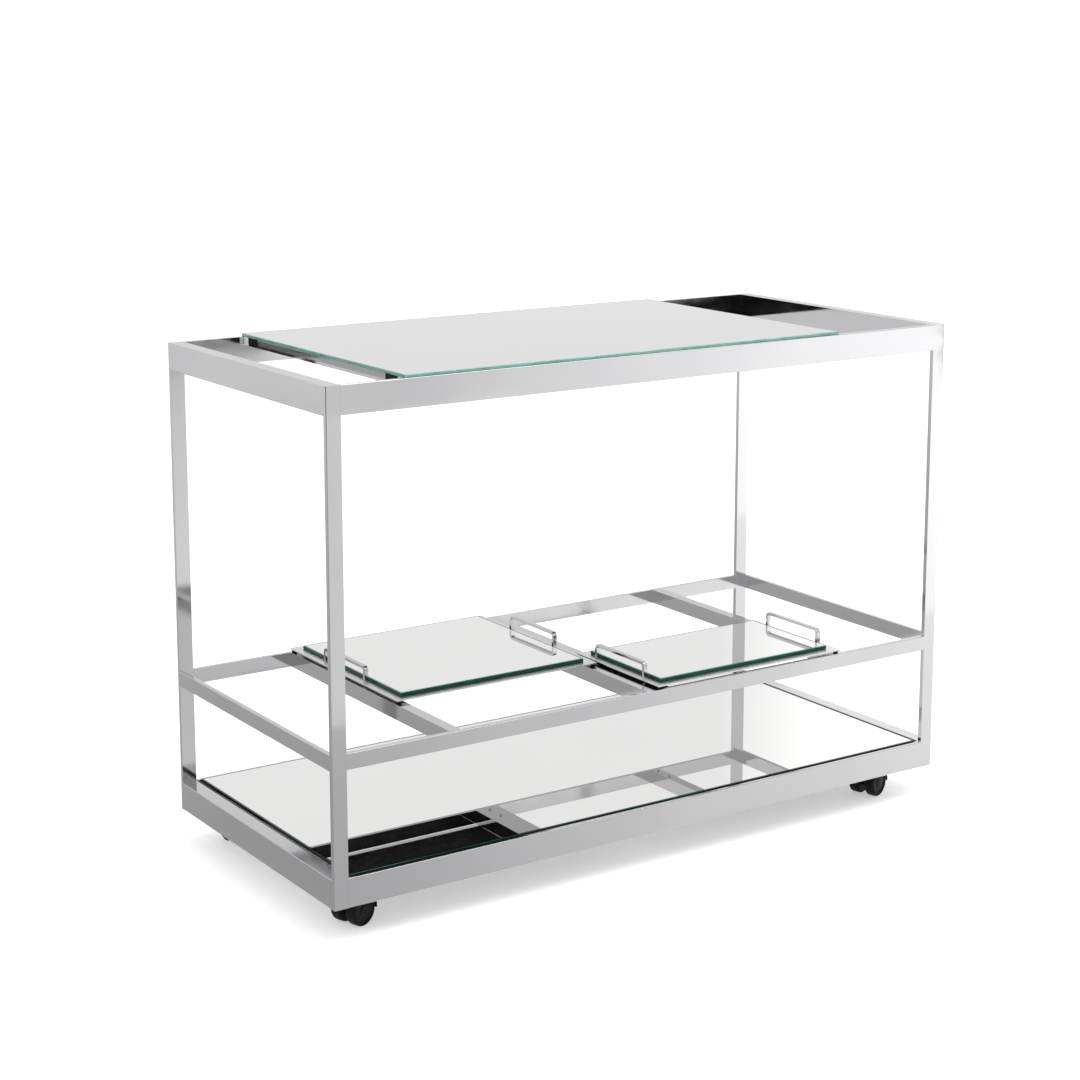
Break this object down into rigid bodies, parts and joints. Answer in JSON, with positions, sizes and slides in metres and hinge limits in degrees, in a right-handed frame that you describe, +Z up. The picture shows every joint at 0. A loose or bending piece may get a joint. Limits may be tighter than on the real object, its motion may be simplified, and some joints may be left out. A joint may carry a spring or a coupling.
{
  "type": "bar cart on wheels",
  "caption": "Polished metal bar cart on twin-wheel casters, with a sliding mirrored top, two loose mirrored trays on cross bars and a mirrored lower shelf.",
  "frame": {"origin": "on the floor under the middle of the cart's footprint", "axes": "+X along the cart to the right, +Y to the back, +Z up; the front faces -Y"},
  "size_m": [1.22, 0.542, 0.86],
  "materials": {
    "polished_steel": "mirror-polished bright metal",
    "mirror_glass": "silvered glass with polished green edges",
    "dark_panel": "smooth matt black",
    "black_rubber": "matt moulded rubber",
    "black_block": "matt black moulded plastic",
    "nylon": "pale nylon, satin",
    "screw_steel": "zinc-plated",
    "wheel_black": "moulded black, satin tread",
    "caster_black": "moulded black, semi-gloss",
    "plated_steel": "bright zinc-plated",
    "hidden_steel": "grey painted steel tube"
  },
  "bodies": {
    "frame": {"bottom_rail_back": "polished_steel", "bottom_rail_front": "polished_steel", "bottom_rail_left": "polished_steel", "bottom_rail_right": "polished_steel", "caster_kingpins": "plated_steel", "caster_plates": "plated_steel", "caster_screws": "screw_steel", "middle_rail_back": "polished_steel", "middle_rail_front": "polished_steel", "middle_rail_left": "polished_steel", "middle_rail_right": "polished_steel", "post_back_left": "polished_steel", "post_back_right": "polished_steel", "post_front_left": "polished_steel", "post_front_right": "polished_steel", "shelf_mirror": "mirror_glass", "shelf_pads": "black_rubber", "shelf_tubes": "hidden_steel", "top_rail_back": "polished_steel", "top_rail_front": "polished_steel", "top_rail_left": "polished_steel", "top_rail_right": "polished_steel", "tray_bar_centre": "polished_steel", "tray_bar_left": "polished_steel", "tray_bar_plugs": "hidden_steel", "tray_bar_right": "polished_steel", "tray_bar_screws": "screw_steel"},
    "sliding_top": {"top_mirror": "mirror_glass", "guide_bar_left": "polished_steel", "guide_bar_right": "polished_steel", "guide_end_blocks": "black_block", "guide_glides": "nylon"},
    "large_tray": {"large_tray_base": "polished_steel", "large_tray_feet": "black_rubber", "large_tray_handles": "polished_steel", "large_tray_mirror": "mirror_glass", "large_tray_panel": "dark_panel", "large_tray_screws": "screw_steel"},
    "small_tray": {"small_tray_base": "polished_steel", "small_tray_feet": "black_rubber", "small_tray_handles": "polished_steel", "small_tray_mirror": "mirror_glass", "small_tray_panel": "dark_panel", "small_tray_screws": "screw_steel"},
    "caster_front_left": {"caster_hood_front_left": "caster_black", "axle_front_left": "plated_steel"},
    "wheel_front_left_a": {"wheel_front_left_a": "wheel_black"},
    "wheel_front_left_b": {"wheel_front_left_b": "wheel_black"},
    "caster_front_right": {"caster_hood_front_right": "caster_black", "axle_front_right": "plated_steel"},
    "wheel_front_right_a": {"wheel_front_right_a": "wheel_black"},
    "wheel_front_right_b": {"wheel_front_right_b": "wheel_black"},
    "caster_back_left": {"caster_hood_back_left": "caster_black", "axle_back_left": "plated_steel"},
    "wheel_back_left_a": {"wheel_back_left_a": "wheel_black"},
    "wheel_back_left_b": {"wheel_back_left_b": "wheel_black"},
    "caster_back_right": {"caster_hood_back_right": "caster_black", "axle_back_right": "plated_steel"},
    "wheel_back_right_a": {"wheel_back_right_a": "wheel_black"},
    "wheel_back_right_b": {"wheel_back_right_b": "wheel_black"}
  },
  "joints": [
    {"name": "top_slide", "type": "slide", "parent": "frame", "child": "sliding_top", "axis": [1, 0, 0], "range_m": [-0.108, 0.215]},
    {"name": "large_tray_slide", "type": "slide", "parent": "frame", "child": "large_tray", "axis": [0, 1, 0], "range_m": [-0.545, 0]},
    {"name": "small_tray_slide", "type": "slide", "parent": "frame", "child": "small_tray", "axis": [0, 1, 0], "range_m": [-0.241, 0.303]},
    {"name": "swivel_front_left", "type": "hinge", "parent": "frame", "child": "caster_front_left", "pos_m": [-0.53, -0.205, 0.05], "axis": [0, 0, 1], "continuous": true},
    {"name": "spin_front_left_a", "type": "hinge", "parent": "caster_front_left", "child": "wheel_front_left_a", "pos_m": [-0.54522, -0.20994, 0.025], "axis": [-0.309, 0.9511, 0], "continuous": true},
    {"name": "spin_front_left_b", "type": "hinge", "parent": "caster_front_left", "child": "wheel_front_left_b", "pos_m": [-0.54522, -0.20994, 0.025], "axis": [-0.309, 0.9511, 0], "continuous": true},
    {"name": "swivel_front_right", "type": "hinge", "parent": "frame", "child": "caster_front_right", "pos_m": [0.53, -0.205, 0.05], "axis": [0, 0, 1], "continuous": true},
    {"name": "spin_front_right_a", "type": "hinge", "parent": "caster_front_right", "child": "wheel_front_right_a", "pos_m": [0.51478, -0.20994, 0.025], "axis": [-0.309, 0.9511, 0], "continuous": true},
    {"name": "spin_front_right_b", "type": "hinge", "parent": "caster_front_right", "child": "wheel_front_right_b", "pos_m": [0.51478, -0.20994, 0.025], "axis": [-0.309, 0.9511, 0], "continuous": true},
    {"name": "swivel_back_left", "type": "hinge", "parent": "frame", "child": "caster_back_left", "pos_m": [-0.53, 0.205, 0.05], "axis": [0, 0, 1], "continuous": true},
    {"name": "spin_back_left_a", "type": "hinge", "parent": "caster_back_left", "child": "wheel_back_left_a", "pos_m": [-0.53, 0.221, 0.025], "axis": [1, 0, 0], "continuous": true},
    {"name": "spin_back_left_b", "type": "hinge", "parent": "caster_back_left", "child": "wheel_back_left_b", "pos_m": [-0.53, 0.221, 0.025], "axis": [1, 0, 0], "continuous": true},
    {"name": "swivel_back_right", "type": "hinge", "parent": "frame", "child": "caster_back_right", "pos_m": [0.53, 0.205, 0.05], "axis": [0, 0, 1], "continuous": true},
    {"name": "spin_back_right_a", "type": "hinge", "parent": "caster_back_right", "child": "wheel_back_right_a", "pos_m": [0.51478, 0.20006, 0.025], "axis": [-0.309, 0.9511, 0], "continuous": true},
    {"name": "spin_back_right_b", "type": "hinge", "parent": "caster_back_right", "child": "wheel_back_right_b", "pos_m": [0.51478, 0.20006, 0.025], "axis": [-0.309, 0.9511, 0], "continuous": true}
  ]
}
